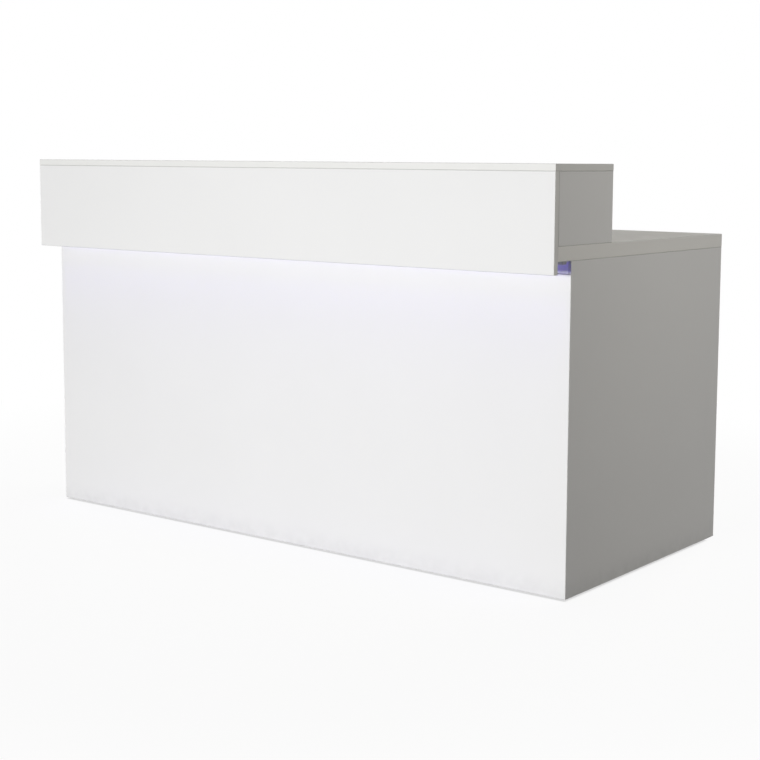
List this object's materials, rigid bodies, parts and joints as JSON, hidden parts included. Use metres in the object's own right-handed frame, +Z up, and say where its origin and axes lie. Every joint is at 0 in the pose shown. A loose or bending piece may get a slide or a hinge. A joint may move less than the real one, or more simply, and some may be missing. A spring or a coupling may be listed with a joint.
{
  "type": "bar counter with shelves",
  "caption": "White gloss bar counter with a raised hood over the worktop, a lit cove under its fascia and open shelf bays at the rear.",
  "frame": {"origin": "on the floor, under the middle of the overall box", "axes": "+X along the counter, to the right as a guest sees it; +Y from the guests to the bartender; +Z up"},
  "size_m": [1.9, 0.92, 1.1],
  "materials": {
    "white_board": "white high-gloss faced board with white edging",
    "lamp_aluminium": "satin anodised extrusion",
    "lamp_opal": "opal diffuser, lit blue-violet",
    "lamp_tape": "white flexible tape",
    "grey_plastic": "moulded",
    "black_plastic": "fine moulded texture",
    "pin_nickel": "nickel-plated, turned"
  },
  "bodies": {
    "counter": {"bottom_deck": "white_board", "cove_rail": "white_board", "divider_1": "white_board", "divider_2": "white_board", "front_panel": "white_board", "glide_1_front": "grey_plastic", "glide_1_rear": "grey_plastic", "glide_2_front": "grey_plastic", "glide_2_rear": "grey_plastic", "glide_3_front": "grey_plastic", "glide_3_rear": "grey_plastic", "glide_4_front": "grey_plastic", "glide_4_rear": "grey_plastic", "hood_divider_1": "white_board", "hood_divider_2": "white_board", "hood_end_left": "white_board", "hood_end_right": "white_board", "hood_fascia": "white_board", "hood_top": "white_board", "lamp_cap_left": "grey_plastic", "lamp_cap_right": "grey_plastic", "lamp_diffuser": "lamp_opal", "lamp_driver": "black_plastic", "lamp_profile": "lamp_aluminium", "lamp_tape": "lamp_tape", "plinth_cross_1": "white_board", "plinth_cross_2": "white_board", "plinth_front": "white_board", "plinth_rear": "white_board", "shelf_pin_1_front_left": "pin_nickel", "shelf_pin_1_front_right": "pin_nickel", "shelf_pin_1_rear_left": "pin_nickel", "shelf_pin_1_rear_right": "pin_nickel", "shelf_pin_2_front_left": "pin_nickel", "shelf_pin_2_front_right": "pin_nickel", "shelf_pin_2_rear_left": "pin_nickel", "shelf_pin_2_rear_right": "pin_nickel", "shelf_pin_3_front_left": "pin_nickel", "shelf_pin_3_front_right": "pin_nickel", "shelf_pin_3_rear_left": "pin_nickel", "shelf_pin_3_rear_right": "pin_nickel", "side_left": "white_board", "side_right": "white_board", "worktop": "white_board"},
    "loose_shelf_1": {"shelf_1": "white_board"},
    "loose_shelf_2": {"shelf_2": "white_board"},
    "loose_shelf_3": {"shelf_3": "white_board"}
  },
  "joints": [
    {"name": "shelf_1_pull", "type": "slide", "parent": "counter", "child": "loose_shelf_1", "axis": [0, 1, 0], "range_m": [0, 0.3]},
    {"name": "shelf_2_pull", "type": "slide", "parent": "counter", "child": "loose_shelf_2", "axis": [0, 1, 0], "range_m": [0, 0.3]},
    {"name": "shelf_3_pull", "type": "slide", "parent": "counter", "child": "loose_shelf_3", "axis": [0, 1, 0], "range_m": [0, 0.3]}
  ]
}
